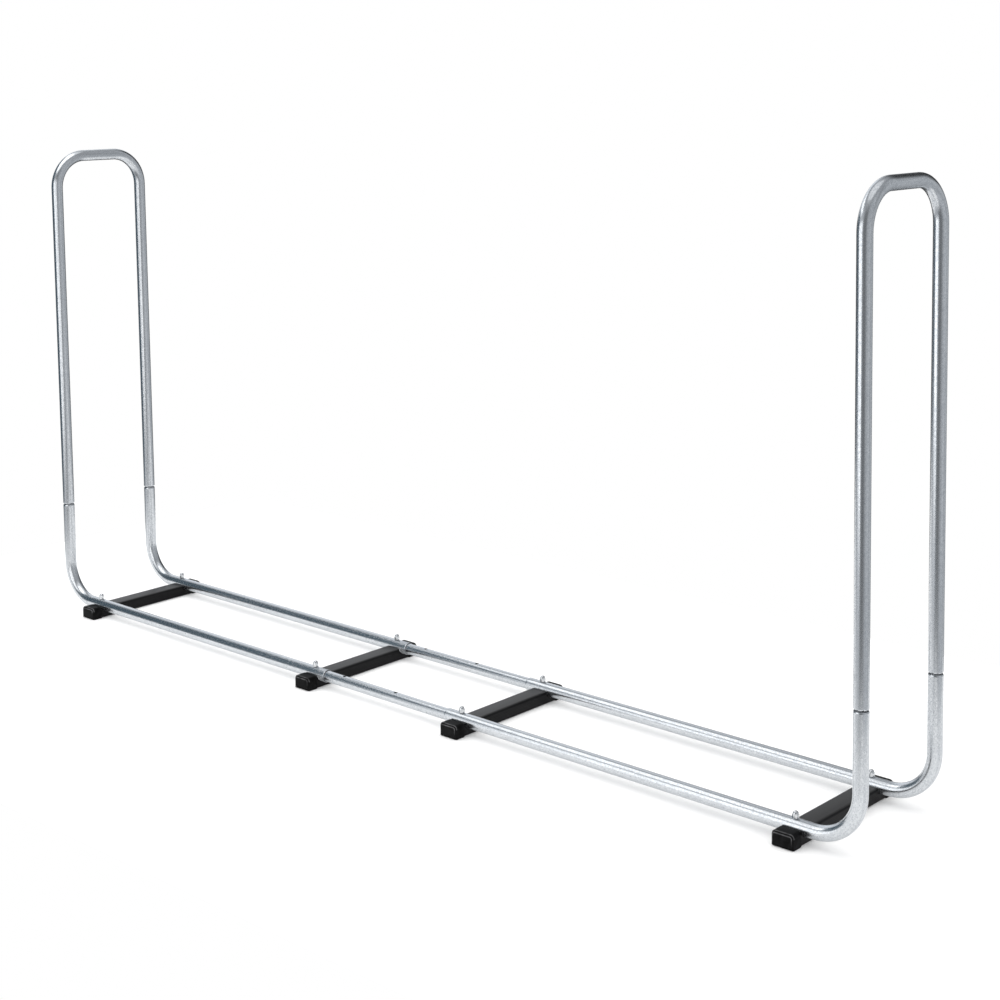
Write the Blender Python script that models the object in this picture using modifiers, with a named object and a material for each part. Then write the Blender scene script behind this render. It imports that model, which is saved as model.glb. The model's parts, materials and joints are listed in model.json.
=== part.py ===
"""Firewood log rack: two tubular hoops on a telescoping base of tubes, held on four notched crossbars.

Metres, +Z up. X runs along the rack, the front is -Y, and the origin lies on the floor under the middle.
"""

import math

import bmesh
import bpy
from mathutils import Matrix

# Driving dimensions
LEG_SPAN = 2.690  # between the axes of the left and right legs
RAIL_SPACING = 0.290  # between the axes of the front and rear tubes
RAIL_HEIGHT = 0.0325  # from the floor to the axis of the rails
HOOP_RISE = 1.300  # from the axis of the rails to the axis of a hoop's top
NECK_RISE = 0.275  # from the axis of the rails to the rim that a hoop stands on
TUBE_RADIUS = 0.016
TUBE_WALL = 0.0015
MIDDLE_RADIUS = 0.0139  # slides inside the corner tubes
CORNER_BEND = 0.105
HOOP_BEND = 0.092
SPIGOT_LENGTH = 0.070  # the drawn-in end of a hoop's leg, inside the corner tube
SHOULDER_START = 0.0006
SHOULDER_END = 0.0080

OUTER_BAR_INSET = 0.150  # from a leg's axis to the crossbar beside it
INNER_BAR_INSET = 1.085
TUBE_END_INSET = 1.130  # from a leg's axis to the open end of its corner tubes
MIDDLE_LENGTH = 0.700
LEFT_SPARE_HOLE = 0.110  # from the left inner bolt to the next hole, towards the middle
RIGHT_SPARE_HOLE = 0.225  # from the right inner bolt to the next hole, towards the middle

BAR_WIDTH = 0.050
BAR_DEPTH = 0.030
BAR_WALL = 0.002
BAR_FLOOR = 0.005  # thick enough for a countersunk head
BAR_TOP_ROUND = 0.007
BAR_BOTTOM_ROUND = 0.002
CAP_WALL = 0.0015
CAP_END = 0.003
CAP_LENGTH = 0.030
CAP_CHAMFER = 0.004
RACK_DEPTH = 0.390  # over the end caps
GAP = 0.0003
SADDLE_CLEARANCE = 0.00039  # more than a gap, because the notch and the rail both have flat sides

BOLT_RADIUS = 0.004
BOLT_HOLE_RADIUS = 0.0045
BOLT_HEAD_RADIUS = 0.008
BOLT_HEAD_DEPTH = 0.0040
SINK_CLEARANCE = 0.0009  # more than a gap, for the same reason
NUT_ACROSS_FLATS = 0.013
NUT_HEX_HEIGHT = 0.0080
NUT_DOME_RADIUS = 0.0062
NUT_HEIGHT = 0.015
NUT_BORE_DEPTH = 0.0105

TUBE_SIDES = 16
BEND_STEPS = 6
HOLE_SIDES = 10
SADDLE_SIDES = 24
DOME_STEPS = 4
DOME_SIDES = 12
BIG_ROUND = 0.004  # a section's rounding over this radius takes several steps
BIG_ROUND_STEPS = 3
MERGE_DISTANCE = 0.000001
TURN_MERGE_DISTANCE = 0.00001
SHARP_ANGLE = 35  # degrees
RAIL_CUT = 4 * TUBE_RADIUS  # cutters long enough to pass right through
FLOOR_CUT = 4 * BAR_FLOOR
BAR_CUT = 2 * BAR_WIDTH

LEG_X = LEG_SPAN / 2
RAIL_Y = RAIL_SPACING / 2
BAR_BOTTOM = CAP_WALL
BAR_TOP = BAR_BOTTOM + BAR_DEPTH
TUBE_TOP = RAIL_HEIGHT + TUBE_RADIUS


def clear_scene():
    for obj in list(bpy.data.objects):
        bpy.data.objects.remove(obj, do_unlink=True)


def new_collection(name):
    made = bpy.data.collections.new(name)
    bpy.context.scene.collection.children.link(made)
    return made


def new_material(name, color, roughness, metallic):
    made = bpy.data.materials.new(name)
    made.use_nodes = True
    shader = made.node_tree.nodes["Principled BSDF"]
    shader.inputs["Base Color"].default_value = (*color, 1.0)
    shader.inputs["Roughness"].default_value = roughness
    shader.inputs["Metallic"].default_value = metallic
    return made


def empty_at(name, location, parent=None):
    """An empty that a moving group hangs on, given in its parent's frame."""
    made = bpy.data.objects.new(name, None)
    rack.objects.link(made)
    made.location = location
    made.parent = parent
    return made


def cutter(name, mesh):
    made = bpy.data.objects.new(name, mesh)
    cutters.objects.link(made)
    made.hide_render = True
    made.display_type = "WIRE"
    return made


def subtract(obj, other):
    """Adds the Boolean that cuts the other object out of this one."""
    cut = obj.modifiers.new("cut_" + other.name, "BOOLEAN")
    cut.operation = "DIFFERENCE"
    cut.object = other


def finished_mesh(obj):
    """The object's mesh with its modifiers applied. The object itself is removed."""
    bpy.context.view_layer.update()
    graph = bpy.context.evaluated_depsgraph_get()
    mesh = bpy.data.meshes.new_from_object(obj.evaluated_get(graph))
    mesh.name = obj.name
    bpy.data.objects.remove(obj, do_unlink=True)
    tidy = bmesh.new()
    tidy.from_mesh(mesh)
    bmesh.ops.remove_doubles(tidy, verts=tidy.verts, dist=MERGE_DISTANCE)
    bmesh.ops.recalc_face_normals(tidy, faces=tidy.faces)
    tidy.to_mesh(mesh)
    tidy.free()
    mesh.shade_smooth()
    mesh.set_sharp_from_angle(angle=math.radians(SHARP_ANGLE))
    return mesh


def place(name, mesh, material, parent, location=(0, 0, 0), turn=0.0):
    """One piece of the rack: its own object and material on a mesh that it may share with its twins."""
    made = bpy.data.objects.new(name, mesh)
    rack.objects.link(made)
    made.parent = parent
    made.location = location
    made.rotation_euler = (0, 0, turn)
    if not mesh.materials:
        mesh.materials.append(None)
    made.material_slots[0].link = "OBJECT"
    made.material_slots[0].material = material
    return made


def cylinder_mesh(name, radius, length, sides, axis="Z", top_radius=None):
    """A closed cylinder or cone round its own origin, along X or Z."""
    shape = bmesh.new()
    bmesh.ops.create_cone(
        shape,
        cap_ends=True,
        segments=sides,
        radius1=radius,
        radius2=radius if top_radius is None else top_radius,
        depth=length,
    )
    if axis == "X":
        bmesh.ops.rotate(shape, verts=shape.verts, matrix=Matrix.Rotation(math.pi / 2, 3, "Y"))
    mesh = bpy.data.meshes.new(name)
    shape.to_mesh(mesh)
    shape.free()
    return mesh


def arc(centre, radius, start, end, steps):
    """Points of an arc in a plane, from one angle to another."""
    angles = [start + (end - start) * step / steps for step in range(steps + 1)]
    return [(centre[0] + radius * math.cos(a), centre[1] + radius * math.sin(a)) for a in angles]


def open_tube(name, points):
    """A hollow tube with open ends. Each point is (x, y, z, outer radius)."""
    curve = bpy.data.curves.new(name, "CURVE")
    curve.dimensions = "3D"
    curve.bevel_depth = TUBE_RADIUS
    curve.bevel_resolution = (TUBE_SIDES - 4) // 2
    spline = curve.splines.new("POLY")
    spline.points.add(len(points) - 1)
    for target, (x, y, z, radius) in zip(spline.points, points):
        target.co = (x, y, z, 1)
        target.radius = radius / TUBE_RADIUS
    path = bpy.data.objects.new(name + "_path", curve)
    rack.objects.link(path)
    skin = finished_mesh(path)
    tube = bpy.data.objects.new(name, skin)
    rack.objects.link(tube)
    wall = tube.modifiers.new("wall", "SOLIDIFY")
    wall.thickness = TUBE_WALL
    wall.offset = -1
    return tube


def drill(tube, places):
    """Bolt holes straight down through both walls of a level tube, at these distances along it."""
    for number, along in enumerate(places, 1):
        bit = cylinder_mesh("bit", BOLT_HOLE_RADIUS, RAIL_CUT, HOLE_SIDES)
        hole = cutter(f"{tube.name}_hole_{number}", bit)
        hole.location = (along, 0, 0)
        subtract(tube, hole)


def corner_tube_mesh():
    """An upright end, a bend and a long level run. Its origin is where the two axes cross."""
    bend = arc((CORNER_BEND, CORNER_BEND), CORNER_BEND, math.pi, 1.5 * math.pi, BEND_STEPS)
    route = [(0, NECK_RISE)] + bend + [(TUBE_END_INSET, 0)]
    tube = open_tube("corner_tube", [(x, 0, z, TUBE_RADIUS) for x, z in route])
    drill(tube, [OUTER_BAR_INSET, INNER_BAR_INSET])
    return finished_mesh(tube)


def middle_tube_mesh():
    """The straight inner tube, with a hole for each inner bolt and a spare one for each side."""
    half = MIDDLE_LENGTH / 2
    tube = open_tube("middle_tube", [(-half, 0, 0, MIDDLE_RADIUS), (half, 0, 0, MIDDLE_RADIUS)])
    bolt = LEG_X - INNER_BAR_INSET
    drill(tube, [-bolt, -bolt + LEFT_SPARE_HOLE, bolt - RIGHT_SPARE_HOLE, bolt])
    return finished_mesh(tube)


def hoop_mesh():
    """An upside-down U whose legs end in drawn-in spigots. Its origin is midway between the two rims."""
    top = HOOP_RISE - NECK_RISE
    corner = RAIL_Y - HOOP_BEND
    leg = [(-RAIL_Y, -SPIGOT_LENGTH, MIDDLE_RADIUS), (-RAIL_Y, SHOULDER_START, MIDDLE_RADIUS)]
    leg.append((-RAIL_Y, SHOULDER_END, TUBE_RADIUS))
    bend = arc((-corner, top - HOOP_BEND), HOOP_BEND, math.pi, math.pi / 2, BEND_STEPS)
    front = leg + [(y, z, TUBE_RADIUS) for y, z in bend]
    rear = [(-y, z, radius) for y, z, radius in reversed(front)]
    return finished_mesh(open_tube("hoop", [(0, y, z, radius) for y, z, radius in front + rear]))


def rounded_outline(width, bottom, top, bottom_round, top_round):
    """The corners of an upright section, counter-clockwise, as (across, up)."""
    half = width / 2
    quarter = math.pi / 2
    points = []
    corners = [
        (half, bottom, -1, 1, bottom_round, -quarter),
        (half, top, -1, -1, top_round, 0.0),
        (-half, top, 1, -1, top_round, quarter),
        (-half, bottom, 1, 1, bottom_round, 2 * quarter),
    ]
    for across, up, inward, upward, radius, start in corners:
        centre = (across + inward * radius, up + upward * radius)
        steps = BIG_ROUND_STEPS if radius > BIG_ROUND else 1
        points += arc(centre, radius, start, start + quarter, steps)
    return points


def extruded(name, outlines, length):
    """A straight section along Y, centred on the origin. A second outline is its hollow."""
    curve = bpy.data.curves.new(name, "CURVE")
    curve.dimensions = "2D"
    curve.fill_mode = "BOTH"
    curve.extrude = length / 2
    for outline in outlines:
        spline = curve.splines.new("POLY")
        spline.points.add(len(outline) - 1)
        for target, (across, up) in zip(spline.points, outline):
            target.co = (across, up, 0, 1)
        spline.use_cyclic_u = True
    flat = bpy.data.objects.new(name, curve)
    rack.objects.link(flat)
    mesh = finished_mesh(flat)
    mesh.transform(Matrix.Rotation(math.pi / 2, 4, "X"))
    return mesh


def crossbar_mesh():
    """The hollow black section, with a half-round notch and a countersunk hole under each rail."""
    outer = rounded_outline(BAR_WIDTH, BAR_BOTTOM, BAR_TOP, BAR_BOTTOM_ROUND, BAR_TOP_ROUND)
    inner = rounded_outline(
        BAR_WIDTH - 2 * BAR_WALL,
        BAR_BOTTOM + BAR_FLOOR,
        BAR_TOP - BAR_WALL,
        BAR_BOTTOM_ROUND,
        BAR_TOP_ROUND - BAR_WALL,
    )
    length = RACK_DEPTH - 2 * (CAP_END + GAP)
    bar = bpy.data.objects.new("crossbar", extruded("crossbar_section", [outer, inner], length))
    rack.objects.link(bar)
    sink_depth = BOLT_HEAD_DEPTH + 2 * GAP
    for side, y in (("front", -RAIL_Y), ("rear", RAIL_Y)):
        saddle_round = TUBE_RADIUS + SADDLE_CLEARANCE
        saddle = cylinder_mesh("saddle", saddle_round, BAR_CUT, SADDLE_SIDES, "X")
        notch = cutter(f"crossbar_{side}_notch", saddle)
        notch.location = (0, y, RAIL_HEIGHT)
        subtract(bar, notch)
        bit = cylinder_mesh("bit", BOLT_HOLE_RADIUS, FLOOR_CUT, HOLE_SIDES)
        hole = cutter(f"crossbar_{side}_hole", bit)
        hole.location = (0, y, BAR_BOTTOM)
        subtract(bar, hole)
        sink = cylinder_mesh(
            "sink",
            BOLT_HEAD_RADIUS + SINK_CLEARANCE,
            sink_depth,
            HOLE_SIDES,
            top_radius=BOLT_RADIUS + SINK_CLEARANCE,
        )
        countersink = cutter(f"crossbar_{side}_countersink", sink)
        countersink.location = (0, y, BAR_BOTTOM + sink_depth / 2)
        subtract(bar, countersink)
    return finished_mesh(bar)


def cap_mesh():
    """A moulded cup over a crossbar's end. Its origin is at the middle of the floor under its closed end."""
    reach = CAP_WALL + GAP
    outline = rounded_outline(
        BAR_WIDTH + 2 * reach, 0, BAR_TOP + reach, BAR_BOTTOM_ROUND, BAR_TOP_ROUND + CAP_WALL
    )
    body = extruded("cap_body", [outline], CAP_LENGTH)
    shape = bmesh.new()
    shape.from_mesh(body)
    bmesh.ops.translate(shape, verts=shape.verts, vec=(0, CAP_LENGTH / 2, 0))
    rim = [e for e in shape.edges if all(v.co.y < GAP for v in e.verts)]
    rim = [e for e in rim if len({round(f.normal.y, 3) for f in e.link_faces}) > 1]
    bmesh.ops.bevel(shape, geom=rim, offset=CAP_CHAMFER, segments=1, affect="EDGES", profile=0.5)
    shape.to_mesh(body)
    shape.free()
    cap = bpy.data.objects.new("end_cap", body)
    rack.objects.link(cap)
    room = rounded_outline(
        BAR_WIDTH + 2 * GAP, BAR_BOTTOM - GAP, BAR_TOP + GAP, BAR_BOTTOM_ROUND, BAR_TOP_ROUND
    )
    socket = cutter("cap_socket", extruded("cap_socket", [room], 2 * CAP_LENGTH))
    socket.location = (0, CAP_LENGTH + CAP_END, 0)
    subtract(cap, socket)
    return finished_mesh(cap)


def turned_mesh(name, profile, steps):
    """A solid turned round Z from points (radius, height) listed down its outer side."""
    shape = bmesh.new()
    made = [shape.verts.new((radius, 0, height)) for radius, height in profile]
    for first, second in zip(made, made[1:]):
        shape.edges.new((first, second))
    mesh = bpy.data.meshes.new(name)
    shape.to_mesh(mesh)
    shape.free()
    solid = bpy.data.objects.new(name, mesh)
    rack.objects.link(solid)
    turn = solid.modifiers.new("turn", "SCREW")
    turn.steps = turn.render_steps = steps
    turn.use_merge_vertices = True
    turn.merge_threshold = TURN_MERGE_DISTANCE
    return finished_mesh(solid)


def bolt_mesh():
    """A countersunk bolt, head down. Its origin is at the centre of the head's flat face."""
    head_face = BAR_BOTTOM + GAP
    end = TUBE_TOP + GAP + NUT_BORE_DEPTH - 2 * GAP - head_face
    profile = [
        (0, end),
        (BOLT_RADIUS, end),
        (BOLT_RADIUS, BOLT_HEAD_DEPTH),
        (BOLT_HEAD_RADIUS, 0),
        (0, 0),
    ]
    return turned_mesh("bolt", profile, HOLE_SIDES)


def cap_nut_mesh():
    """A domed nut with a blind bore. Its origin is at the centre of its seat."""
    corner_radius = NUT_ACROSS_FLATS / math.sqrt(3)
    prism = cylinder_mesh("nut", corner_radius, NUT_HEX_HEIGHT, 6)
    prism.transform(Matrix.Translation((0, 0, NUT_HEX_HEIGHT / 2)))
    nut = bpy.data.objects.new("cap_nut", prism)
    rack.objects.link(nut)
    crown = NUT_HEIGHT - NUT_DOME_RADIUS
    outline = arc((0, crown), NUT_DOME_RADIUS, math.pi / 2, 0, DOME_STEPS)
    foot = NUT_HEX_HEIGHT / 2
    dome_mesh = turned_mesh("nut_dome", outline + [(NUT_DOME_RADIUS, foot), (0, foot)], DOME_SIDES)
    dome = cutter("nut_dome", dome_mesh)
    join = nut.modifiers.new("join_dome", "BOOLEAN")
    join.operation = "UNION"
    join.object = dome
    bore = cylinder_mesh("nut_bore", BOLT_HOLE_RADIUS, 2 * NUT_BORE_DEPTH, HOLE_SIDES)
    subtract(nut, cutter("nut_bore", bore))
    return finished_mesh(nut)


def build_half(side, frame, sign):
    """The corner tubes, crossbars, caps and fasteners of one half. The frame's origin is on the leg plane."""
    turn = 0.0 if sign < 0 else math.pi
    for row, y in (("front", -RAIL_Y), ("rear", RAIL_Y)):
        name = f"{side}_{row}_corner_tube"
        place(name, corner_mesh, zinc, frame, (0, y, 0), turn)
    for place_name, inset in (("outer", OUTER_BAR_INSET), ("inner", INNER_BAR_INSET)):
        x = -sign * inset
        bar = f"{side}_{place_name}"
        place(f"{bar}_crossbar", bar_mesh, black_bar, frame, (x, 0, -RAIL_HEIGHT))
        for row, direction in (("front", -1), ("rear", 1)):
            y = direction * RAIL_Y
            end = direction * RACK_DEPTH / 2
            cap_turn = 0.0 if direction < 0 else math.pi
            head_face = BAR_BOTTOM + GAP - RAIL_HEIGHT
            seat = TUBE_RADIUS + GAP
            place(f"{bar}_{row}_cap", end_cap_mesh, black_cap, frame, (x, end, -RAIL_HEIGHT), cap_turn)
            place(f"{bar}_{row}_bolt", fastener_mesh, bright_zinc, frame, (x, y, head_face))
            place(f"{bar}_{row}_cap_nut", nut_mesh, bright_zinc, frame, (x, y, seat))


clear_scene()
rack = new_collection("firewood_log_rack")
cutters = new_collection("cutters")
zinc = new_material("galvanised_tube", (0.60, 0.62, 0.64), 0.38, 1.0)
bright_zinc = new_material("bright_zinc_fastener", (0.80, 0.81, 0.82), 0.18, 1.0)
black_bar = new_material("black_crossbar", (0.022, 0.022, 0.024), 0.42, 0.0)
black_cap = new_material("black_moulded_cap", (0.012, 0.012, 0.012), 0.55, 0.0)

corner_mesh = corner_tube_mesh()
bar_mesh = crossbar_mesh()
end_cap_mesh = cap_mesh()
fastener_mesh = bolt_mesh()
nut_mesh = cap_nut_mesh()
arch_mesh = hoop_mesh()
inner_mesh = middle_tube_mesh()

left_frame = empty_at("left_frame_axis", (-LEG_X, 0, RAIL_HEIGHT))
middle_rails = empty_at("middle_rails_axis", (LEG_X, 0, 0), left_frame)
right_frame = empty_at("right_frame_axis", (LEG_X, 0, 0), middle_rails)
for row_name, row_y in (("front", -RAIL_Y), ("rear", RAIL_Y)):
    place(f"{row_name}_middle_tube", inner_mesh, zinc, middle_rails, (0, row_y, 0))
for side_name, side_sign, half_frame in (("left", -1, left_frame), ("right", 1, right_frame)):
    build_half(side_name, half_frame, side_sign)
    socket_rim = empty_at(f"{side_name}_hoop_axis", (0, 0, NECK_RISE), half_frame)
    place(f"{side_name}_hoop", arch_mesh, zinc, socket_rim)
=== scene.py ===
import json
import math

import bmesh
import bpy
from mathutils import Matrix, Vector


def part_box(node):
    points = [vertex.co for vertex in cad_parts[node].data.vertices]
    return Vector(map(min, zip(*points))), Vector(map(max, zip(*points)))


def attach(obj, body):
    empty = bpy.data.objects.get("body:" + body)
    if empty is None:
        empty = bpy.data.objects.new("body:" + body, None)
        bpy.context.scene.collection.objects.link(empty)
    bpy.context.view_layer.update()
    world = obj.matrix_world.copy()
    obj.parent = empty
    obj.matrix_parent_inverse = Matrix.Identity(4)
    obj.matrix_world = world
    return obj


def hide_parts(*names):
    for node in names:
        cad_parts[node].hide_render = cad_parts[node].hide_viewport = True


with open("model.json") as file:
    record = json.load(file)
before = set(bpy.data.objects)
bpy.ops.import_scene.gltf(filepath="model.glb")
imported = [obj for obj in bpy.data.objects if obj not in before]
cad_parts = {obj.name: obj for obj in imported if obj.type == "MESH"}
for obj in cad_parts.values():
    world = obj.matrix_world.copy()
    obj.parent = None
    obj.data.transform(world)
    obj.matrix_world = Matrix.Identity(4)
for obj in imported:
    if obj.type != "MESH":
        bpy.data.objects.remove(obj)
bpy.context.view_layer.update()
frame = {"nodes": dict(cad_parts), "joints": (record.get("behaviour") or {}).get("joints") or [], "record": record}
mm = 0.001
touching = 0.001 * mm  # points or sizes closer than this are the same
flush = 0.01 * mm  # a point this close to a plane lies in it
overshoot = 1 * mm  # how far a cutting tool runs past what it cuts
print("frame loaded:", len(frame["nodes"]), "nodes")


# ---- materials

def addNode(tree, kind, values=None, **settings):
    made = tree.nodes.new(kind)
    for key, value in settings.items():
        setattr(made, key, value)
    for key, value in (values or {}).items():
        if isinstance(value, bpy.types.NodeSocket):
            tree.links.new(value, made.inputs[key])
        else:
            made.inputs[key].default_value = value
    return made


def newSurface(name, **sockets):
    material = bpy.data.materials.new(name)
    material.use_nodes = True
    shader = material.node_tree.nodes["Principled BSDF"]
    for key, value in sockets.items():
        shader.inputs[key.replace("_", " ")].default_value = value
    return material, material.node_tree, shader


def stretched(tree, source, scale):
    return addNode(tree, "ShaderNodeMapping", {"Vector": source, "Scale": scale}).outputs[0]


def noise(tree, source, scale, detail=3, roughness=0.55):
    values = {"Vector": source, "Scale": scale, "Detail": detail, "Roughness": roughness}
    return addNode(tree, "ShaderNodeTexNoise", values).outputs["Fac"]


def remap(tree, source, low, high, fromLow=0.3, fromHigh=0.7):
    values = {"Value": source, "From Min": fromLow, "From Max": fromHigh, "To Min": low, "To Max": high}
    return addNode(tree, "ShaderNodeMapRange", values).outputs[0]


def combine(tree, how, first, second):
    made = addNode(tree, "ShaderNodeMath", {0: first}, operation=how)
    if isinstance(second, bpy.types.NodeSocket):
        tree.links.new(second, made.inputs[1])
    else:
        made.inputs[1].default_value = second
    return made.outputs[0]


def weighted(tree, *parts):
    # each part is (value, weight)
    total = None
    for value, weight in parts:
        share = combine(tree, "MULTIPLY", value, weight)
        total = share if total is None else combine(tree, "ADD", total, share)
    return total


def colourRamp(tree, source, stops):
    ramp = addNode(tree, "ShaderNodeValToRGB", {"Fac": source})
    band = ramp.color_ramp
    while len(band.elements) < len(stops):
        band.elements.new(0.5)
    for element, (place, colour) in zip(band.elements, stops):
        element.position = place
        element.color = (*colour, 1)
    return ramp.outputs[0]


def mixColours(tree, share, first, second):
    # the second is a fixed colour
    return addNode(tree, "ShaderNodeMix", {0: share, 6: first, 7: (*second, 1)}, data_type="RGBA").outputs[2]


def addBump(tree, shader, height, look):
    values = {"Height": height, "Strength": look["bump"], "Distance": look["bumpDepth"]}
    bump = addNode(tree, "ShaderNodeBump", values)
    tree.links.new(bump.outputs[0], shader.inputs["Normal"])


zincLook = {
    "grain": 700,  # zinc crystals to the metre, across the tube
    "grainStretch": 0.5,
    "streaks": 420,
    "streakStretch": 0.01,
    "clouds": 9,
    "crystalShare": 0.34,
    "streakShare": 0.46,
    "cloudShare": 0.20,
    "dark": (0.54, 0.565, 0.595),
    "darkAt": 0.30,
    "light": (0.78, 0.80, 0.82),
    "lightAt": 0.72,
    "smoothest": 0.17,
    "roughest": 0.30,
    "roughSpan": (0.3, 0.75),
    "crystalRelief": 0.5,  # against the streaks' relief
    "bump": 0.05,
    "bumpDepth": 0.02 * mm,
    "shadeAndBare": (0.045, 0.045, 0.048),  # painted shade: near-black dull steel, inside the tube and where the zinc came off
    "bareRoughness": 0.7,
}


def zincTubeSurface():
    material, tree, shader = newSurface("galvanisedTube", Metallic=1.0)
    along = addNode(tree, "ShaderNodeAttribute", attribute_name="tubePlace").outputs["Vector"]
    grainSpace = stretched(tree, along, (1, 1, zincLook["grainStretch"]))
    crystals = addNode(tree, "ShaderNodeTexVoronoi", {"Vector": grainSpace, "Scale": zincLook["grain"]})
    crystal = addNode(tree, "ShaderNodeSeparateColor", {"Color": crystals.outputs["Color"]}).outputs[0]
    streakSpace = stretched(tree, along, (1, 1, zincLook["streakStretch"]))
    streak = noise(tree, streakSpace, zincLook["streaks"], detail=2)
    cloud = noise(tree, along, zincLook["clouds"], detail=4, roughness=0.6)
    mixed = weighted(
        tree, (crystal, zincLook["crystalShare"]), (streak, zincLook["streakShare"]),
        (cloud, zincLook["cloudShare"]),
    )
    stops = [(zincLook["darkAt"], zincLook["dark"]), (zincLook["lightAt"], zincLook["light"])]
    colour = colourRamp(tree, mixed, stops)
    # painted shade: where this mask is set the zinc turns near-black and dull
    shadeAndBare = addNode(tree, "ShaderNodeAttribute", attribute_name="paintedShadeAndBare").outputs["Fac"]
    tree.links.new(mixColours(tree, shadeAndBare, colour, zincLook["shadeAndBare"]), shader.inputs["Base Color"])
    rough = remap(tree, mixed, zincLook["roughest"], zincLook["smoothest"], *zincLook["roughSpan"])
    dull = combine(tree, "MULTIPLY", shadeAndBare, zincLook["bareRoughness"])
    tree.links.new(combine(tree, "MAXIMUM", rough, dull), shader.inputs["Roughness"])
    height = combine(tree, "ADD", combine(tree, "MULTIPLY", crystal, zincLook["crystalRelief"]), streak)
    addBump(tree, shader, height, zincLook)
    return material


coatLook = {
    "dark": (0.002, 0.002, 0.0025),
    "light": (0.009, 0.009, 0.0095),
    "paintedTopSheen": (0.052, 0.052, 0.053),  # painted sheen: what faces up is made lighter, standing in for the light the tops catch
    "specular": 0.12,
    "smoothest": 0.26,
    "roughest": 0.44,
    "grain": 1400,
    "grainShare": 0.4,
    "wipes": 60,
    "wipeShare": 0.6,
    "wipeStretch": (1, 0.08, 1),  # wiped along the bar
    "darkAt": 0.36,
    "lightAt": 0.66,
    "paintedSheenSlope": (0.6, 0.95),  # upward part of the normal, from no painted sheen to full painted sheen
    "leastPaintedSheen": 0.7,
    "bump": 0.25,
    "bumpDepth": 0.05 * mm,
}


def blackCoatSurface():
    material, tree, shader = newSurface("blackCoat", Specular_IOR_Level=coatLook["specular"])
    place = addNode(tree, "ShaderNodeTexCoord").outputs["Object"]
    grain = noise(tree, place, coatLook["grain"], detail=3, roughness=0.6)
    wipeSpace = stretched(tree, place, coatLook["wipeStretch"])
    wipe = noise(tree, wipeSpace, coatLook["wipes"], detail=4, roughness=0.6)
    mixed = weighted(tree, (grain, coatLook["grainShare"]), (wipe, coatLook["wipeShare"]))
    stops = [(coatLook["darkAt"], coatLook["dark"]), (coatLook["lightAt"], coatLook["light"])]
    colour = colourRamp(tree, mixed, stops)
    # painted sheen: faces turned up get a lighter colour, as if lit from above
    normal = addNode(tree, "ShaderNodeNewGeometry").outputs["Normal"]
    upward = addNode(tree, "ShaderNodeSeparateXYZ", {0: normal}).outputs[2]
    upwardShare = remap(tree, upward, 0, 1, *coatLook["paintedSheenSlope"])
    paintedSheen = combine(tree, "MULTIPLY", upwardShare, remap(tree, wipe, coatLook["leastPaintedSheen"], 1))
    tree.links.new(mixColours(tree, paintedSheen, colour, coatLook["paintedTopSheen"]), shader.inputs["Base Color"])
    rough = remap(tree, mixed, coatLook["smoothest"], coatLook["roughest"])
    tree.links.new(rough, shader.inputs["Roughness"])
    addBump(tree, shader, grain, coatLook)
    return material


plasticLook = {
    "dark": (0.002, 0.002, 0.002),
    "light": (0.008, 0.008, 0.0085),
    "wornAndGlint": (0.12, 0.12, 0.125),  # rubbed edges, and a painted glint where the edges catch light
    "specular": 0.06,
    "smoothest": 0.34,
    "roughest": 0.52,
    "pebbles": 900,
    "clouds": 70,
    "darkAt": 0.36,
    "lightAt": 0.66,
    "leastWornAndGlint": 0.2,
    "bump": 0.35,
    "bumpDepth": 0.12 * mm,
}


def blackPlasticSurface():
    material, tree, shader = newSurface("blackMouldedPlastic", Specular_IOR_Level=plasticLook["specular"])
    place = addNode(tree, "ShaderNodeTexCoord").outputs["Object"]
    pebbles = addNode(tree, "ShaderNodeTexVoronoi", {"Vector": place, "Scale": plasticLook["pebbles"]})
    cloud = noise(tree, place, plasticLook["clouds"], detail=4, roughness=0.6)
    stops = [(plasticLook["darkAt"], plasticLook["dark"]), (plasticLook["lightAt"], plasticLook["light"])]
    colour = colourRamp(tree, cloud, stops)
    # painted glint: the rounded edges are made lighter, as rubbed wear and as the light they catch
    edge = addNode(tree, "ShaderNodeAttribute", attribute_name="edgeWearAndGlint").outputs["Fac"]
    rubbedAndGlint = combine(tree, "MULTIPLY", edge, remap(tree, cloud, plasticLook["leastWornAndGlint"], 1))
    tree.links.new(mixColours(tree, rubbedAndGlint, colour, plasticLook["wornAndGlint"]), shader.inputs["Base Color"])
    rough = remap(tree, cloud, plasticLook["smoothest"], plasticLook["roughest"])
    tree.links.new(rough, shader.inputs["Roughness"])
    addBump(tree, shader, pebbles.outputs["Distance"], plasticLook)
    return material


fastenerLook = {
    "dark": (0.50, 0.52, 0.54),
    "light": (0.82, 0.83, 0.84),
    "smoothest": 0.10,
    "roughest": 0.24,
    "clouds": 260,
    "cloudShare": 0.6,
    "scratches": 1600,
    "scratchShare": 0.4,
    "scratchStretch": (1, 1, 8),  # fine rings round the bolt's axis
    "darkAt": 0.36,
    "lightAt": 0.62,
    "bump": 0.12,
    "bumpDepth": 0.02 * mm,
}


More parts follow.
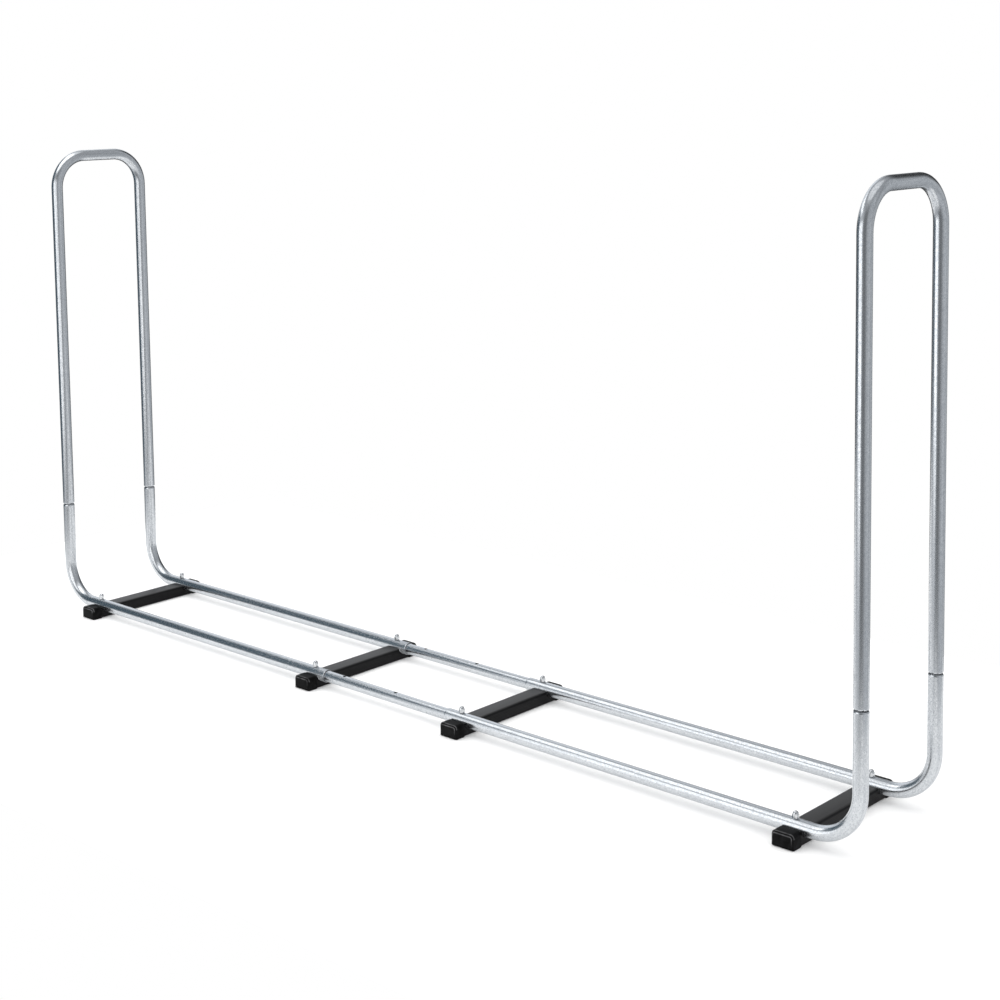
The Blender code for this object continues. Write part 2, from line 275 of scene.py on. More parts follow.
def brightZincSurface():
    material, tree, shader = newSurface("brightZinc", Metallic=1.0)
    place = addNode(tree, "ShaderNodeTexCoord").outputs["Object"]
    cloud = noise(tree, place, fastenerLook["clouds"], detail=4, roughness=0.6)
    scratchSpace = stretched(tree, place, fastenerLook["scratchStretch"])
    scratch = noise(tree, scratchSpace, fastenerLook["scratches"], detail=2)
    mixed = weighted(tree, (cloud, fastenerLook["cloudShare"]), (scratch, fastenerLook["scratchShare"]))
    stops = [(fastenerLook["darkAt"], fastenerLook["dark"]), (fastenerLook["lightAt"], fastenerLook["light"])]
    tree.links.new(colourRamp(tree, mixed, stops), shader.inputs["Base Color"])
    rough = remap(tree, mixed, fastenerLook["roughest"], fastenerLook["smoothest"])
    tree.links.new(rough, shader.inputs["Roughness"])
    addBump(tree, shader, scratch, fastenerLook)
    return material


zincTube = zincTubeSurface()
blackCoat = blackCoatSurface()
blackPlastic = blackPlasticSurface()
brightZinc = brightZincSurface()
print("materials made")


# ---- pieces

def weldAndTurnOut(shape):
    bmesh.ops.remove_doubles(shape, verts=shape.verts, dist=touching)
    bmesh.ops.recalc_face_normals(shape, faces=shape.faces)


def giveWall(shape, wall):
    # the skin is an open tube: its faces are turned out first, because a wall hides which way is out
    weldAndTurnOut(shape)
    outer = set(shape.verts)
    bmesh.ops.solidify(shape, geom=shape.faces[:], thickness=wall)
    return [point for point in shape.verts if point not in outer]


def meshObject(name, shape):
    mesh = bpy.data.meshes.new(name)
    shape.to_mesh(mesh)
    shape.free()
    made = bpy.data.objects.new(name, mesh)
    bpy.context.scene.collection.objects.link(made)
    return made


def shapeWith(piece, operation, tools):
    for tool in tools:
        step = piece.modifiers.new(operation, "BOOLEAN")
        step.operation = operation
        step.object = tool
    bpy.context.view_layer.update()
    graph = bpy.context.evaluated_depsgraph_get()
    shaped = bpy.data.meshes.new_from_object(piece.evaluated_get(graph))
    piece.modifiers.clear()
    piece.data = shaped
    for tool in tools:
        bpy.data.objects.remove(tool, do_unlink=True)
    return piece


def finishPiece(piece, material, node, sharpAngle=35):
    piece.data.materials.clear()
    piece.data.materials.append(material)
    piece.data.shade_smooth()
    piece.data.set_sharp_from_angle(angle=math.radians(sharpAngle))
    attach(piece, bodyOf[node])
    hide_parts(node)


def placedCopy(pattern, name, matrix):
    made = bpy.data.objects.new(name, pattern.data.copy())
    made.data.transform(matrix)
    bpy.context.scene.collection.objects.link(made)
    return made


def pinTool(radius, bottom, top, place, sides=32, topRadius=None):
    shape = bmesh.new()
    bmesh.ops.create_cone(
        shape, cap_ends=True, segments=sides, depth=top - bottom,
        radius1=radius, radius2=radius if topRadius is None else topRadius,
        matrix=Matrix.Translation((place[0], place[1], (top + bottom) / 2)),
    )
    weldAndTurnOut(shape)
    return meshObject("tool", shape)


def turnedShape(name, profile, steps):
    shape = bmesh.new()
    points = [shape.verts.new((radius, 0, height)) for radius, height in profile]
    line = [shape.edges.new(pair) for pair in zip(points, points[1:])]
    bmesh.ops.spin(
        shape, geom=points + line, cent=(0, 0, 0), axis=(0, 0, 1), dvec=(0, 0, 0),
        angle=2 * math.pi, steps=steps, use_merge=True, use_duplicate=False,
    )
    weldAndTurnOut(shape)
    return meshObject(name, shape)


def arcPoints(centre, radius, start, end, steps):
    angles = [math.radians(start + (end - start) * step / steps) for step in range(steps + 1)]
    return [(centre[0] + radius * math.cos(a), centre[1] + radius * math.sin(a)) for a in angles]


bodyOf = {}
for bodyName, members in frame["record"]["behaviour"]["bodies"].items():
    for nodeName in members:
        bodyOf[nodeName] = bodyName
travelOf = {joint["name"]: joint["range_m"][1] for joint in frame["joints"]}

tubeMake = {
    "sides": 48,
    "bendSteps": 22,
    "wall": 1.5 * mm,
    "edgeRound": 0.4 * mm,
    "edgeSteps": 2,
    "cornerBend": 105 * mm,
    "hoopBend": 92 * mm,
    "holeRadius": 4.5 * mm,
    "supportInset": 1.5 * mm,
    "rimAngle": 60,  # edges folded more than this are rims, and get rounded
}


def ringEdges(ring):
    members = set(ring)
    found = {edge for point in ring for edge in point.link_edges}
    return [edge for edge in found if members.issuperset(edge.verts)]


def drawSkin(shape, start, heading, radius, moves):
    # a move is ("on", distance, radius at its end) or ("bend", bend radius, side it turns to)
    layer = shape.verts.layers.float_vector["tubePlace"]
    place, heading = Vector(start), Vector(heading)
    turn = heading.to_track_quat("Z", "Y").to_matrix().to_4x4()
    first = bmesh.ops.create_circle(
        shape, segments=tubeMake["sides"], radius=radius, matrix=Matrix.Translation(place) @ turn,
    )["verts"]
    for point in first:
        flat = turn.inverted() @ (point.co - place)
        point[layer] = (flat.x, flat.y, 0)
    ring = first
    for move in moves:
        changes = []
        if move[0] == "on":
            # a straight run gets a ring near each end, so its shading stays that of a straight tube
            inset = tubeMake["supportInset"]
            straight = abs(move[2] - radius) < touching and move[1] > 4 * inset
            for run in [inset, move[1] - 2 * inset, inset] if straight else [move[1]]:
                shrink = Matrix.Scale(move[2] / radius, 4)
                there = place + heading * run
                changes.append((run, Matrix.Translation(there) @ shrink @ Matrix.Translation(-place)))
                place, radius = there, move[2]
        else:
            side = Vector(move[2])
            centre = place + side * move[1]
            count = tubeMake["bendSteps"]
            part = Matrix.Rotation(math.pi / 2 / count, 4, heading.cross(side))
            step = move[1] * math.pi / 2 / count
            changes = [(step, Matrix.Translation(centre) @ part @ Matrix.Translation(-centre))] * count
            place = centre + heading * move[1]
            heading = side
        for distance, change in changes:
            made = bmesh.ops.extrude_edge_only(shape, edges=ringEdges(ring))["geom"]
            ring = [item for item in made if isinstance(item, bmesh.types.BMVert)]
            bmesh.ops.transform(shape, verts=ring, matrix=change)
            for point in ring:
                point[layer] = point[layer] + Vector((0, 0, distance))


def tubePiece(name, start, heading, radius, moves, press=None):
    shape = bmesh.new()
    shape.verts.layers.float_vector.new("tubePlace")
    shadeAndBare = shape.verts.layers.float.new("paintedShadeAndBare")
    drawSkin(shape, start, heading, radius, moves)
    if press:
        press(shape)
    # painted shade: the inside wall gets the near-black colour
    for point in giveWall(shape, tubeMake["wall"]):
        point[shadeAndBare] = 1
    rims = [edge for edge in shape.edges if edge.calc_face_angle(0) > math.radians(tubeMake["rimAngle"])]
    bmesh.ops.bevel(
        shape, geom=rims, offset=tubeMake["edgeRound"], segments=tubeMake["edgeSteps"], profile=0.5,
        affect="EDGES", material=-1,
    )
    return meshObject(name, shape)


railRows = {"front": -1, "rear": 1}
sides = {"left": -1, "right": 1}

cornerMake = {
    "rimTaper": 2.4 * mm,  # height over which the rim draws in under the hoop
    "rimRadius": 15.0 * mm,
    "ridgeCount": 5,
    "ridgePitch": 4.6 * mm,
    "ridgeDepth": 0.5 * mm,
    "ridgeFlat": 0.54,  # shares of the pitch: the land between two rings, and each side of a ring
    "ridgeSlope": 0.14,
    "ridgeFromEnd": 3.0 * mm,
}


def endRidges(radius):
    # fine rings are rolled into the last stretch of a left-hand tube
    pitch, depth = cornerMake["ridgePitch"], cornerMake["ridgeDepth"]
    rings = []
    flat, slope = cornerMake["ridgeFlat"] * pitch, cornerMake["ridgeSlope"] * pitch
    for ring in range(cornerMake["ridgeCount"]):
        rings += [("on", flat / 2, radius), ("on", slope, radius - depth)]
        rings += [("on", pitch - flat - 2 * slope, radius - depth)]
        rings += [("on", slope, radius), ("on", flat / 2, radius)]
    return rings


def cornerTube(side, row):
    node = f"{side}_{row}_corner_tube"
    low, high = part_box(node)
    radius = (high.y - low.y) / 2
    railY = (high.y + low.y) / 2
    sign = sides[side]
    legX = low.x + radius if sign < 0 else high.x - radius
    endX = high.x if sign < 0 else low.x
    railZ = low.z + radius
    bend = tubeMake["cornerBend"]
    inward = (-sign, 0, 0)
    upright = high.z - railZ - bend
    level = abs(endX - legX) - bend
    ridged = cornerMake["ridgeCount"] * cornerMake["ridgePitch"] + cornerMake["ridgeFromEnd"]
    moves = [("on", cornerMake["rimTaper"], radius), ("on", upright - cornerMake["rimTaper"], radius)]
    moves += [("bend", bend, inward), ("on", level - ridged, radius)]
    moves += endRidges(radius) if sign < 0 else [("on", ridged - cornerMake["ridgeFromEnd"], radius)]
    moves += [("on", cornerMake["ridgeFromEnd"], radius)]
    start = (legX, railY, high.z)
    tube = tubePiece(f"{node}_fine", start, (0, 0, -1), cornerMake["rimRadius"], moves)
    bolts = [f"{side}_{where}_{row}_bolt" for where in ("outer", "inner")]
    shapeWith(tube, "DIFFERENCE", [boltHoleTool(bolt, railZ, radius) for bolt in bolts])
    finishPiece(tube, zincTube, node)


def boltHoleTool(bolt, railZ, radius):
    low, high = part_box(bolt)
    place = ((low.x + high.x) / 2, (low.y + high.y) / 2)
    return pinTool(tubeMake["holeRadius"], railZ - 2 * radius, railZ + 2 * radius, place)


def middleTube(row):
    node = f"{row}_middle_tube"
    low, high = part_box(node)
    radius = (high.z - low.z) / 2
    railY, railZ = (low.y + high.y) / 2, (low.z + high.z) / 2
    moves = [("on", high.x - low.x, radius)]
    tube = tubePiece(f"{node}_fine", (low.x, railY, railZ), (1, 0, 0), radius, moves)
    tools = []
    for side, joint in (("left", "left_telescope"), ("right", "right_telescope")):
        boltLow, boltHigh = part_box(f"{side}_inner_{row}_bolt")
        boltX = (boltLow.x + boltHigh.x) / 2
        spare = boltX - sides[side] * travelOf[joint]
        for place in (boltX, spare):
            hole = pinTool(tubeMake["holeRadius"], railZ - 2 * radius, railZ + 2 * radius, (place, railY))
            tools.append(hole)
    shapeWith(tube, "DIFFERENCE", tools)
    finishPiece(tube, zincTube, node)


hoopMake = {
    "spigotRadius": 13.2 * mm,  # clears the drawn-in rims
    "spigotLength": 70 * mm,
    "shoulderStart": 0.5 * mm,
    "shoulderEnd": 5.2 * mm,
    "shoulderSteps": 6,
    "radius": 16.0 * mm,
    "dents": 8,  # left by the tool that draws the spigot in
    "dentDepth": 1.2 * mm,
    "dentSpan": (-0.05, 0.95),  # shares of the shoulder's height
    "mostShadeAndBare": 1.0,  # painted shade and bare steel next to the rim, by how far the drawing-in took the zinc off: in a dent, and between two
    "leastShadeAndBare": 0.12,
}


def shoulderMoves(rising):
    # an eased swelling from the drawn-in end to the full tube
    low, high = hoopMake["spigotRadius"], hoopMake["radius"]
    count = hoopMake["shoulderSteps"]
    rise = (hoopMake["shoulderEnd"] - hoopMake["shoulderStart"]) / count
    sizes = []
    for step in range(count + 1):
        ease = 0.5 - 0.5 * math.cos(math.pi * step / count)
        sizes.append(low + (high - low) * ease)
    if rising:
        return [("on", rise, size) for size in sizes[1:]]
    return [("on", rise, size) for size in reversed(sizes[:-1])]


def pressDents(shape, legX, legY, rim):
    start, end = rim + hoopMake["shoulderStart"], rim + hoopMake["shoulderEnd"]
    shadeAndBare = shape.verts.layers.float["paintedShadeAndBare"]
    lowest, highest = hoopMake["dentSpan"]
    for point in shape.verts:
        rise = (point.co.z - start) / (end - start)
        if lowest < rise < highest:
            arm = point.co - Vector((legX, math.copysign(legY, point.co.y), point.co.z))
            dent = max(0, math.cos(hoopMake["dents"] * math.atan2(arm.y, arm.x))) ** 2
            # painted shade in the dents and between them, next to the rim
            point[shadeAndBare] = max(hoopMake["mostShadeAndBare"] * dent, hoopMake["leastShadeAndBare"]) * (1 - rise)
            point.co -= arm.normalized() * hoopMake["dentDepth"] * math.sin(math.pi * rise) * dent


def hoopTube(side):
    node = f"{side}_hoop"
    low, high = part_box(node)
    radius = hoopMake["radius"]
    legX = (low.x + high.x) / 2
    legY = low.y + radius
    bend = tubeMake["hoopBend"]
    rim = low.z + hoopMake["spigotLength"]
    legRun = high.z - radius - bend - rim - hoopMake["shoulderEnd"]
    foot = hoopMake["spigotLength"] + hoopMake["shoulderStart"]
    moves = [("on", foot, hoopMake["spigotRadius"])] + shoulderMoves(True)
    moves += [("on", legRun, radius), ("bend", bend, (0, 1, 0)), ("on", -2 * legY - 2 * bend, radius)]
    moves += [("bend", bend, (0, 0, -1)), ("on", legRun, radius)] + shoulderMoves(False)
    moves += [("on", foot, hoopMake["spigotRadius"])]
    hoop = tubePiece(
        f"{node}_fine", (legX, legY, low.z), (0, 0, 1), hoopMake["spigotRadius"], moves,
        lambda shape: pressDents(shape, legX, legY, rim),
    )
    finishPiece(hoop, zincTube, node)


for sideName in sides:
    for rowName in railRows:
        cornerTube(sideName, rowName)
    hoopTube(sideName)
for rowName in railRows:
    middleTube(rowName)
print("tubes made")

barMake = {
    "topRound": 7 * mm,
    "bottomRound": 2 * mm,
    "wall": 2 * mm,
    "floor": 5 * mm,
    "ridges": 6,
    "ridgeDepth": 0.25 * mm,
    "ridgeSteps": 4,
    "leastWall": 10 * mm,  # only longer stretches of the section are ridged
    "saddleClearance": 0.4 * mm,
    "saddleSides": 64,
    "holeBelow": 5 * mm,
    "holeAbove": 15 * mm,
    "sinkRadius": 8.9 * mm,
    "sinkThroat": 4.9 * mm,
    "sinkDepth": 4.6 * mm,
}

roundSteps = {"top": 8, "bottom": 3}


def roundedSection(width, depth, topRound, bottomRound):
    # an upright section in the XY plane: X across, Y up, standing on Y = 0
    shape = bmesh.new()
    bmesh.ops.create_grid(shape, x_segments=1, y_segments=1, size=0.5)
    bmesh.ops.scale(shape, verts=shape.verts, vec=(width, depth, 1))
    bmesh.ops.translate(shape, verts=shape.verts, vec=(0, depth / 2, 0))
    rounds = ((True, topRound, roundSteps["top"]), (False, bottomRound, roundSteps["bottom"]))
    for top, offset, count in rounds:
        corners = [v for v in shape.verts if abs(v.co.x) > 0.49 * width and (v.co.y > depth / 2) == top]
        corners = [v for v in corners if min(abs(v.co.y), abs(v.co.y - depth)) < flush]
        bmesh.ops.bevel(
            shape, geom=corners, offset=offset, segments=count, profile=0.5,
            affect="VERTICES", material=-1, offset_type="OFFSET",
        )
    return shape


def sideRidges(shape, width):
    walls = [e for e in shape.edges if all(abs(v.co.x) > 0.4999 * width for v in e.verts)]
    long = [e for e in walls if e.calc_length() > barMake["leastWall"]]
    cuts = barMake["ridgeSteps"] * barMake["ridges"] - 1
    made = bmesh.ops.subdivide_edges(shape, edges=long, cuts=cuts)
    new = [item for item in made["geom_inner"] if isinstance(item, bmesh.types.BMVert)]
    for sign in (-1, 1):
        column = sorted((v for v in new if v.co.x * sign > 0), key=lambda v: v.co.y)
        for number, point in enumerate(column):
            if number % barMake["ridgeSteps"] == 1:
                point.co.x -= sign * barMake["ridgeDepth"]


def crossbarPattern(node):
    low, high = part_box(node)
    width, depth, length = high.x - low.x, high.z - low.z, high.y - low.y
    shape = roundedSection(width, depth, barMake["topRound"], barMake["bottomRound"])
    bmesh.ops.delete(shape, geom=shape.faces[:], context="FACES_ONLY")
    sideRidges(shape, width)
    made = bmesh.ops.extrude_edge_only(shape, edges=shape.edges[:])["geom"]
    far = [item for item in made if isinstance(item, bmesh.types.BMVert)]
    bmesh.ops.translate(shape, verts=far, vec=(0, 0, length))
    giveWall(shape, barMake["wall"])
    within = barMake["wall"] * 0.9
    inside = [v for v in shape.verts if v.co.y > within and abs(v.co.x) < width / 2 - within]
    lowest = [v for v in inside if v.co.y < barMake["wall"] + barMake["bottomRound"] + 0.1 * mm]
    bmesh.ops.translate(shape, verts=lowest, vec=(0, barMake["floor"] - barMake["wall"], 0))
    stand = Matrix.Translation((0, length / 2, low.z)) @ Matrix.Rotation(math.pi / 2, 4, "X")
    bmesh.ops.transform(shape, verts=shape.verts, matrix=stand)
    bar = meshObject("crossbarPattern", shape)
    tubeLow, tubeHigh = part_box("left_front_corner_tube")
    radius = (tubeHigh.y - tubeLow.y) / 2
    railY, railZ = (tubeHigh.y + tubeLow.y) / 2, tubeLow.z + radius
    tools = []
    for y in (railY, -railY):
        saddle = pinTool(radius + barMake["saddleClearance"], -width, width, (0, 0), barMake["saddleSides"])
        lay = Matrix.Translation((0, y, railZ)) @ Matrix.Rotation(math.pi / 2, 4, "Y")
        saddle.data.transform(lay)
        tools.append(saddle)
        holeBottom, holeTop = low.z - barMake["holeBelow"], low.z + barMake["holeAbove"]
        tools.append(pinTool(tubeMake["holeRadius"], holeBottom, holeTop, (0, y)))
        sinkTop = low.z + barMake["sinkDepth"]
        tools.append(
            pinTool(barMake["sinkRadius"], low.z - flush, sinkTop, (0, y), topRadius=barMake["sinkThroat"])
        )
    return shapeWith(bar, "DIFFERENCE", tools)


capMake = {
    "topRound": 8.5 * mm,
    "bottomRound": 2.0 * mm,
    "chamfer": 4.0 * mm,
    "edgeRound": 1.2 * mm,
    "edgeSteps": 3,
    "foldAngle": 30,  # edges folded more than this are rounded
    "sharpAngle": 30,
    "wall": 1.2 * mm,
    "end": 3.0 * mm,
}


def capPattern(node):
    # closed end towards -Y, with the middle of its floor at the origin
    low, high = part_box(node)
    width, height, length = high.x - low.x, high.z - low.z, high.y - low.y
    shape = roundedSection(width, height, capMake["topRound"], capMake["bottomRound"])
    made = bmesh.ops.extrude_face_region(shape, geom=shape.faces[:])["geom"]
    far = [item for item in made if isinstance(item, bmesh.types.BMVert)]
    bmesh.ops.translate(shape, verts=far, vec=(0, 0, length))
    stand = Matrix.Translation((0, length, 0)) @ Matrix.Rotation(math.pi / 2, 4, "X")
    bmesh.ops.transform(shape, verts=shape.verts, matrix=stand)
    weldAndTurnOut(shape)
    rim = [e for e in shape.edges if all(v.co.y < flush for v in e.verts)]
    bmesh.ops.bevel(
        shape, geom=rim, offset=capMake["chamfer"], segments=1, profile=0.5, affect="EDGES", material=-1,
    )
    wearAndGlint = shape.faces.layers.float.new("edgeWearAndGlint")
    lowest = capMake["bottomRound"] + capMake["chamfer"]  # the tight lower corners stay sharp
    leastFold = math.radians(capMake["foldAngle"])
    folds = [e for e in shape.edges if e.is_manifold and e.calc_face_angle() > leastFold]
    folds = [e for e in folds if all(v.co.y < length / 2 and v.co.z > lowest for v in e.verts)]
    rounded = bmesh.ops.bevel(
        shape, geom=folds, offset=capMake["edgeRound"], segments=capMake["edgeSteps"], profile=0.5,
        affect="EDGES", material=-1, clamp_overlap=True,
    )["faces"]
    # the rounded edges are marked for the lighter edge colour: rubbed wear and a painted glint
    for face in rounded:
        face[wearAndGlint] = 1
    for point in shape.verts:
        point.co.y = max(point.co.y, 0)  # a rounded fold may stand a little proud
    back = [f for f in shape.faces if f.normal.y > 0.99 and f.calc_center_median().y > length - flush]
    bmesh.ops.inset_region(shape, faces=back, thickness=capMake["wall"], use_even_offset=True)
    made = bmesh.ops.extrude_face_region(shape, geom=back)["geom"]
    bmesh.ops.delete(shape, geom=[face for face in back if face.is_valid], context="FACES_ONLY")
    floor = [item for item in made if isinstance(item, bmesh.types.BMVert)]
    bmesh.ops.translate(shape, verts=floor, vec=(0, capMake["end"] - length, 0))
    return meshObject("capPattern", shape)


nutMake = {
    "acrossFlats": 13 * mm,
    "hexHeight": 8.0 * mm,
    "domeRadius": 6.2 * mm,
    "height": 15 * mm,
    "boreRadius": 4.5 * mm,
    "boreDepth": 10.5 * mm,
    "chamfer": 0.9 * mm,
    "cornerWorn": 0.15 * mm,
    "faceInset": 0.2 * mm,
    "domeSteps": 14,
    "sides": 48,
}


def nutPattern():
    # seat at the origin, dome up
    corner = nutMake["acrossFlats"] / math.sqrt(3)
    flat = nutMake["acrossFlats"] / 2
    top, hexTop = nutMake["height"], nutMake["hexHeight"]
    dome = nutMake["domeRadius"]
    chamfer = nutMake["chamfer"]
    face = flat - nutMake["faceInset"]
    profile = arcPoints((0, top - dome), dome, 90, 0, nutMake["domeSteps"])[1:]
    profile = [(0, top)] + profile + [(dome, hexTop), (face, hexTop)]
    blank = corner - nutMake["cornerWorn"]
    profile += [(blank, hexTop - chamfer), (blank, 0.5 * chamfer), (face, 0), (0, 0)]
    nut = turnedShape("nutPattern", profile, nutMake["sides"])
    prism = pinTool(corner, -overshoot, top + overshoot, (0, 0), 6)
    shapeWith(nut, "INTERSECT", [prism])
    bore = pinTool(nutMake["boreRadius"], -overshoot, nutMake["boreDepth"], (0, 0))
    return shapeWith(nut, "DIFFERENCE", [bore])


boltMake = {
    "radius": 4 * mm,
    "headRadius": 8 * mm,
    "headDepth": 4 * mm,
    "headEdge": 0.4 * mm,
    "headBevel": 0.15 * mm,
    "sides": 40,
    "socketFlats": 5 * mm,
    "socketDepth": 2.6 * mm,
    "tipChamfer": 0.7 * mm,
}


def boltPattern(node):
    low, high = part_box(node)
    length = high.z - low.z
    radius, head, tip = boltMake["radius"], boltMake["headRadius"], boltMake["tipChamfer"]
    profile = [(0, length), (radius - tip, length), (radius, length - tip), (radius, boltMake["headDepth"])]
    profile += [(head, boltMake["headEdge"]), (head - boltMake["headBevel"], 0), (0, 0)]
    bolt = turnedShape("boltPattern", profile, boltMake["sides"])
    socketCorner = boltMake["socketFlats"] / math.sqrt(3)
    socket = pinTool(socketCorner, -overshoot, boltMake["socketDepth"], (0, 0), 6)
    return shapeWith(bolt, "DIFFERENCE", [socket])


barPattern = crossbarPattern("left_outer_crossbar")
endCapPattern = capPattern("left_outer_front_cap")
capNutPattern = nutPattern()
countersunkPattern = boltPattern("left_outer_front_bolt")

for sideName in sides:
    for place in ("outer", "inner"):
        barNode = f"{sideName}_{place}_crossbar"
        barLow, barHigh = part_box(barNode)
        barX = (barLow.x + barHigh.x) / 2
        bar = placedCopy(barPattern, f"{barNode}_fine", Matrix.Translation((barX, 0, 0)))
        finishPiece(bar, blackCoat, barNode)
        for rowName, direction in railRows.items():
            start = f"{sideName}_{place}_{rowName}"
            low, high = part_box(f"{start}_cap")
            endY = low.y if direction < 0 else high.y
            turn = Matrix.Rotation(0 if direction < 0 else math.pi, 4, "Z")
            shift = Matrix.Translation((barX, endY, low.z))
            cap = placedCopy(endCapPattern, f"{start}_cap_fine", shift @ turn)
            finishPiece(cap, blackPlastic, f"{start}_cap", capMake["sharpAngle"])
            low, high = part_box(f"{start}_bolt")
            centre = (low + high) / 2
            shift = Matrix.Translation((centre.x, centre.y, low.z))
            bolt = placedCopy(countersunkPattern, f"{start}_bolt_fine", shift)
            finishPiece(bolt, brightZinc, f"{start}_bolt")
            low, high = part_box(f"{start}_cap_nut")
            centre = (low + high) / 2
            shift = Matrix.Translation((centre.x, centre.y, low.z))
            nut = placedCopy(capNutPattern, f"{start}_cap_nut_fine", shift)
            finishPiece(nut, brightZinc, f"{start}_cap_nut")
for pattern in (barPattern, endCapPattern, capNutPattern, countersunkPattern):
    bpy.data.objects.remove(pattern, do_unlink=True)
print("bars, caps and fasteners made")


# ---- floor, lights and camera

bpy.context.scene.view_settings.view_transform = "Standard"

floorMake = {
    "length": 4.0,
    "depth": 2.2,
    "colour": (0.93, 0.93, 0.93),
    "roughness": 0.9,
    "glow": 0.10,  # lifts the shadows
    "mirrored": (0.76, 0.765, 0.77),
    "mirroredFront": (0.34, 0.35, 0.36),
    "frontFade": (-0.45, -0.95),  # Y, over which the mirrored floor darkens
}


def paleFloor():
    shape = bmesh.new()
    bmesh.ops.create_grid(shape, x_segments=1, y_segments=1, size=0.5)
    bmesh.ops.scale(shape, verts=shape.verts, vec=(floorMake["length"], floorMake["depth"], 1))
    floor = meshObject("pale_floor", shape)
    material, tree, shader = newSurface("paleFloor", Roughness=floorMake["roughness"])
    # reflections see it darker than the camera does, and darker still towards the front
    path = addNode(tree, "ShaderNodeLightPath")
    pale = addNode(tree, "ShaderNodeRGB")
    pale.outputs[0].default_value = (*floorMake["colour"], 1)
    mirrored = path.outputs["Is Glossy Ray"]
    toned = mixColours(tree, mirrored, pale.outputs[0], floorMake["mirrored"])
    place = addNode(tree, "ShaderNodeTexCoord").outputs["Object"]
    across = addNode(tree, "ShaderNodeSeparateXYZ", {0: place}).outputs[1]
    front = combine(tree, "MULTIPLY", mirrored, remap(tree, across, 0, 1, *floorMake["frontFade"]))
    toned = mixColours(tree, front, toned, floorMake["mirroredFront"])
    tree.links.new(toned, shader.inputs["Base Color"])
    shader.inputs["Emission Color"].default_value = (1, 1, 1, 1)
    shader.inputs["Emission Strength"].default_value = floorMake["glow"]
    floor.data.materials.append(material)


sunMake = {"strength": 0.4, "angle": 60}

softboxMake = {  # brightness is the radiance of the box's face
    "frontBox": {
        "place": (-0.62, -3.0, 1.05),
        "aim": (-0.62, 0, 1.05),
        "size": (3.4, 2.3),
        "brightness": 1.1,
    },
    "topBox": {
        "place": (-1.9, -1.17, 3.2),
        "aim": (-1.9, -1.16, 0),
        "size": (2.6, 2.8),
        "brightness": 1.3,
    },
}

darkCardMake = {  # stands past the rack's left end
    "x": -2.5,
    "front": -2.7,
    "back": 0.05,
    "height": 2.8,
    "colour": (0.040, 0.068, 0.090),
    "roughness": 1.0,
}

worldMake = {
    "seen": (1.0, 1.0, 1.0),
    "tint": (0.95, 0.99, 1.04),
    # degrees from +X towards +Y, and how bright the room is there: near and below eye level, then above
    "lowTones": [
        (-180, 0.45), (-108, 0.50), (-80, 0.20), (-55, 0.17), (-25, 0.46), (15, 0.60), (38, 0.42),
        (52, 0.54), (66, 0.52), (80, 0.38), (100, 0.20), (118, 0.04), (152, 0.03), (168, 0.08), (180, 0.45),
    ],
    "highTones": [
        (-180, 0.45), (-108, 0.50), (-80, 0.20), (-55, 0.17), (-25, 0.46), (15, 0.55), (36, 0.30), (50, 0.50),
        (64, 0.54), (74, 0.18), (82, 0.03), (112, 0.03), (123, 0.40), (133, 0.92), (160, 0.92), (180, 0.45),
    ],
    "highFrom": (0.04, 0.14),  # the upward slope where the high tones take over
    "overhead": 0.38,
    "overheadFrom": (0.60, 0.74),
}


def addSun(strength, angle):
    light = bpy.data.lights.new("softSun", "SUN")
    light.energy = strength
    light.angle = math.radians(angle)
    bpy.context.scene.collection.objects.link(bpy.data.objects.new("softSun", light))


def addSoftbox(name, place, aim, size, brightness):
    light = bpy.data.lights.new(name, "AREA")
    light.shape = "RECTANGLE"
    light.size, light.size_y = size
    light.energy = brightness * math.pi * size[0] * size[1]
    made = bpy.data.objects.new(name, light)
    made.location = place
    made.rotation_euler = (Vector(aim) - Vector(place)).to_track_quat("-Z", "Y").to_euler()
    made.visible_camera = False
    bpy.context.scene.collection.objects.link(made)


def darkCard():
    # only reflections see it
    facts = darkCardMake
    shape = bmesh.new()
    bmesh.ops.create_grid(shape, x_segments=1, y_segments=1, size=0.5)
    bmesh.ops.scale(shape, verts=shape.verts, vec=(facts["height"], facts["back"] - facts["front"], 1))
    bmesh.ops.rotate(shape, verts=shape.verts, matrix=Matrix.Rotation(math.pi / 2, 3, "Y"))
    middle = (facts["x"], (facts["front"] + facts["back"]) / 2, facts["height"] / 2)
    bmesh.ops.translate(shape, verts=shape.verts, vec=middle)
    card = meshObject("dark_card", shape)
    material, _, shader = newSurface("darkCard", Roughness=facts["roughness"])
    shader.inputs["Base Color"].default_value = (*facts["colour"], 1)
    card.data.materials.append(material)
    card.visible_camera = card.visible_diffuse = card.visible_shadow = False


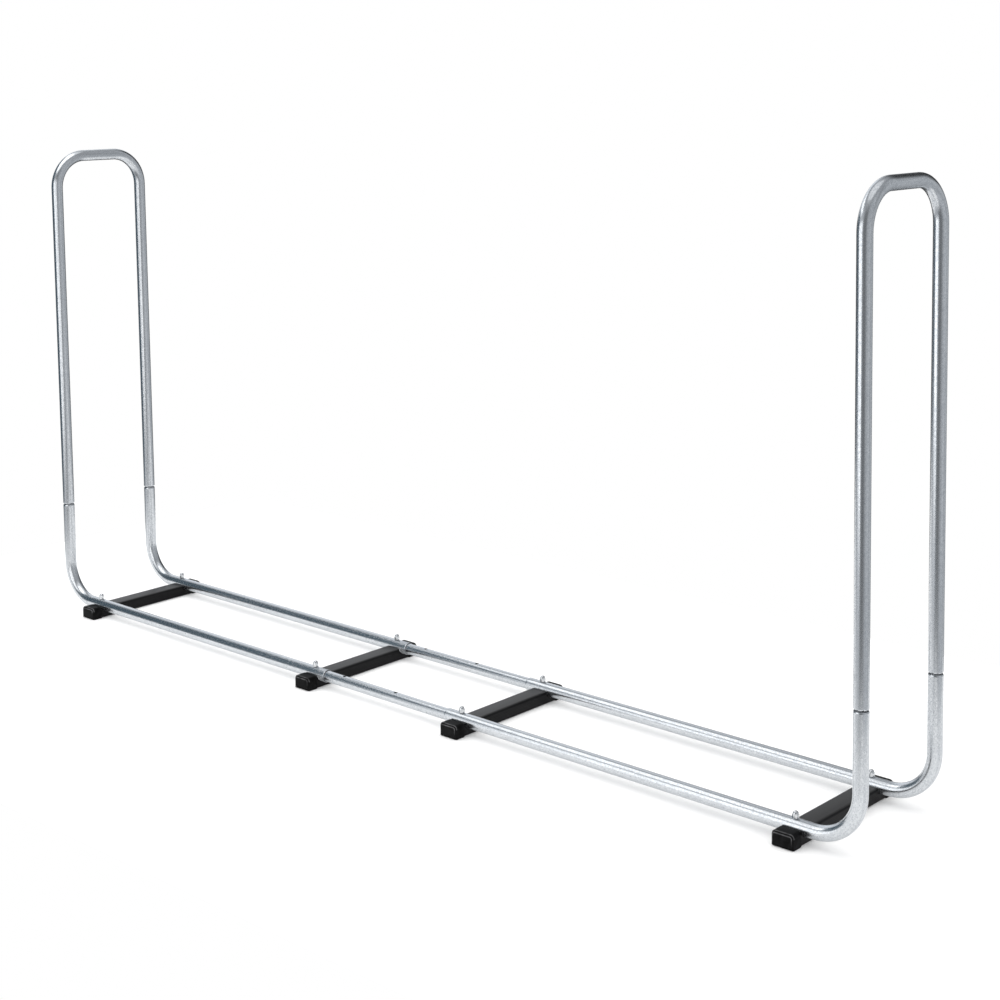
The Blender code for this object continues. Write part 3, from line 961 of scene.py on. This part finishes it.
def surroundings():
    # white to the camera and as light on everything; only what is mirrored has the room's tones
    world = bpy.data.worlds.new("studio")
    world.use_nodes = True
    tree = world.node_tree
    tree.nodes.clear()
    direction = addNode(tree, "ShaderNodeTexCoord").outputs["Generated"]
    axes = addNode(tree, "ShaderNodeSeparateXYZ", {0: direction}).outputs
    around = remap(tree, combine(tree, "ARCTAN2", axes[1], axes[0]), 0, 1, -math.pi, math.pi)
    tint = worldMake["tint"]
    ramps = []
    for key in ("lowTones", "highTones"):
        stops = [((turn + 180) / 360, [tone * part for part in tint]) for turn, tone in worldMake[key]]
        ramps.append(colourRamp(tree, around, stops))
    high = remap(tree, axes[2], 0, 1, *worldMake["highFrom"])
    tone = addNode(tree, "ShaderNodeMix", {0: high, 6: ramps[0], 7: ramps[1]}, data_type="RGBA").outputs[2]
    overhead = remap(tree, axes[2], 0, 1, *worldMake["overheadFrom"])
    tone = mixColours(tree, overhead, tone, [worldMake["overhead"] * part for part in tint])
    room = addNode(tree, "ShaderNodeBackground", {"Color": tone})
    seen = addNode(tree, "ShaderNodeBackground", {"Color": (*worldMake["seen"], 1)})
    path = addNode(tree, "ShaderNodeLightPath")
    mix = addNode(tree, "ShaderNodeMixShader", {0: path.outputs["Is Glossy Ray"]})
    tree.links.new(seen.outputs[0], mix.inputs[1])
    tree.links.new(room.outputs[0], mix.inputs[2])
    output = addNode(tree, "ShaderNodeOutputWorld")
    tree.links.new(mix.outputs[0], output.inputs["Surface"])
    bpy.context.scene.world = world


cameraMake = {
    "place": (3.154, -3.126, 1.544),
    "lens": 65.05,
    "sensor": 36,
    "yaw": 42.72,
    "pitch": 5.76,
    "roll": -0.73,
    "shiftY": -0.24,
}


def studioCamera():
    yaw, pitch, roll = (math.radians(cameraMake[key]) for key in ("yaw", "pitch", "roll"))
    made = bpy.data.objects.new("studioCamera", bpy.data.cameras.new("studioCamera"))
    made.data.lens = cameraMake["lens"]
    made.data.sensor_width = cameraMake["sensor"]
    made.data.shift_y = cameraMake["shiftY"]
    made.data.dof.use_dof = False
    aim = Matrix.Rotation(yaw, 4, "Z") @ Matrix.Rotation(math.pi / 2 - pitch, 4, "X")
    made.matrix_world = Matrix.Translation(cameraMake["place"]) @ aim @ Matrix.Rotation(roll, 4, "Z")
    bpy.context.scene.collection.objects.link(made)
    bpy.context.scene.camera = made


paleFloor()
darkCard()
addSun(**sunMake)
for boxName, boxFacts in softboxMake.items():
    addSoftbox(boxName, **boxFacts)
surroundings()
studioCamera()
print("stage made")
